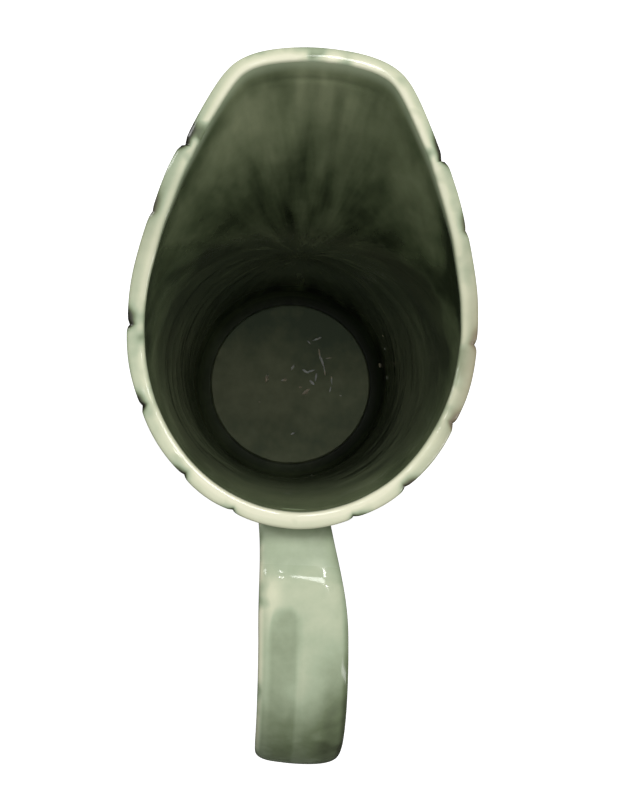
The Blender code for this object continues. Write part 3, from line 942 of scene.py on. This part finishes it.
def plane(name, half_x, half_y):
    data = bpy.data.meshes.new(name)
    corners = [(-half_x, -half_y, 0), (half_x, -half_y, 0), (half_x, half_y, 0), (-half_x, half_y, 0)]
    data.from_pydata(corners, [], [(0, 1, 2, 3)])
    card = bpy.data.objects.new(name, data)
    bpy.context.scene.collection.objects.link(card)
    return card


def matte(name, colour, emission=0.0):
    n = Nodes(name)
    n.shader.inputs["Base Color"].default_value = (*colour, 1)
    n.shader.inputs["Roughness"].default_value = 0.95
    n.shader.inputs["Specular IOR Level"].default_value = 0.0
    n.shader.inputs["Emission Color"].default_value = (1, 1, 1, 1)
    n.shader.inputs["Emission Strength"].default_value = emission
    return n.material


def area(name, place, aim, size, power):
    """A rectangular lamp, in watts, that the camera doesn't see."""
    light = bpy.data.lights.new(name, "AREA")
    light.shape = "RECTANGLE"
    light.size, light.size_y = size
    light.energy = power
    lamp = bpy.data.objects.new(name, light)
    bpy.context.scene.collection.objects.link(lamp)
    lamp.visible_camera = False
    lamp.location = place
    lamp.rotation_euler = (Vector(aim) - Vector(place)).to_track_quat("-Z", "Y").to_euler()


def make_backdrop():
    """A bright floor and wall for the camera, and a dark card that only the pitcher sees."""
    white = (0.8, 0.8, 0.8)
    floor = plane("studio_floor", STUDIO_REACH, STUDIO_REACH)
    floor.data.materials.append(matte("studio_white", white, STUDIO_GLOW))

    card = plane("dark_card", STUDIO_REACH - 0.02, STUDIO_REACH - 0.02)
    card.location.z = 0.0004
    card.data.materials.append(matte("card_black", (0.03, 0.03, 0.03)))
    card.visible_camera = False
    card.visible_shadow = False

    radius = STUDIO_REACH - 0.01
    tall = STUDIO_REACH
    bpy.ops.mesh.primitive_cylinder_add(vertices=96, radius=radius, depth=tall, end_fill_type="NOTHING")
    wall = bpy.context.object
    wall.name = "backdrop"
    wall.location.z = tall / 2
    wall.data.materials.append(matte("backdrop_white", white, STUDIO_GLOW))
    wall.visible_diffuse = wall.visible_glossy = wall.visible_shadow = False


def make_sky():
    """Light from all round, brightest overhead and dark near the level of the floor."""
    world = bpy.data.worlds.new("studio")
    bpy.context.scene.world = world
    world.use_nodes = True
    tree = world.node_tree
    place = tree.nodes.new("ShaderNodeTexCoord")
    split = tree.nodes.new("ShaderNodeSeparateXYZ")
    ramp = tree.nodes.new("ShaderNodeValToRGB")
    for element, position, grey in zip(ramp.color_ramp.elements, (0.15, 1.0), (0.06, 1.0)):
        element.position = position
        element.color = (grey, grey, grey, 1)
    tree.links.new(place.outputs["Generated"], split.inputs[0])
    tree.links.new(split.outputs["Z"], ramp.inputs[0])
    tree.links.new(ramp.outputs[0], tree.nodes["Background"].inputs["Color"])
    tree.nodes["Background"].inputs["Strength"].default_value = SKY_STRENGTH


def make_lamps():
    area("window", (-0.35, -1.15, 1.7), (0, 0, 0.15), (0.7, 0.7), 15)
    area("strip_left", (1.7, -0.7, 0.8), (0, 0, 0.1), (0.25, 1.3), 7)
    area("strip_right", (-1.7, 0.5, 0.8), (0, 0, 0.1), (0.25, 1.3), 5)
    area("pane_left", (0.34, -0.66, 1.8), (0, 0.05, 0.2), (0.14, 0.05), 0.8)
    area("pane_right", (-0.64, -0.60, 1.8), (0, 0.05, 0.2), (0.10, 0.08), 0.8)


def make_camera():
    """Above the mouth, a little towards the handle, looking almost straight down."""
    camera = bpy.data.cameras.new("camera")
    camera.sensor_fit = "HORIZONTAL"
    camera.sensor_width = 36
    camera.lens = CAMERA_LENS
    camera.clip_start = 0.01
    holder = bpy.data.objects.new("camera", camera)
    bpy.context.scene.collection.objects.link(holder)
    holder.location = CAMERA_PLACE
    holder.rotation_euler = [math.radians(angle) for angle in CAMERA_DEGREES]
    bpy.context.scene.camera = holder


vessel = make_vessel()
strap = make_strap()
green = glaze()
vessel.data.materials.append(green)
strap.data.materials.append(green)
make_marks(vessel).data.materials.append(lime())
bare = clay()
for name in ("foot_ring", "upper_handle_lute", "lower_handle_lute"):
    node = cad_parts[name]
    node.data.materials.clear()
    node.data.materials.append(bare if name == "foot_ring" else green)
make_backdrop()
make_sky()
make_lamps()
make_camera()
bpy.context.scene.view_settings.view_transform = "Standard"
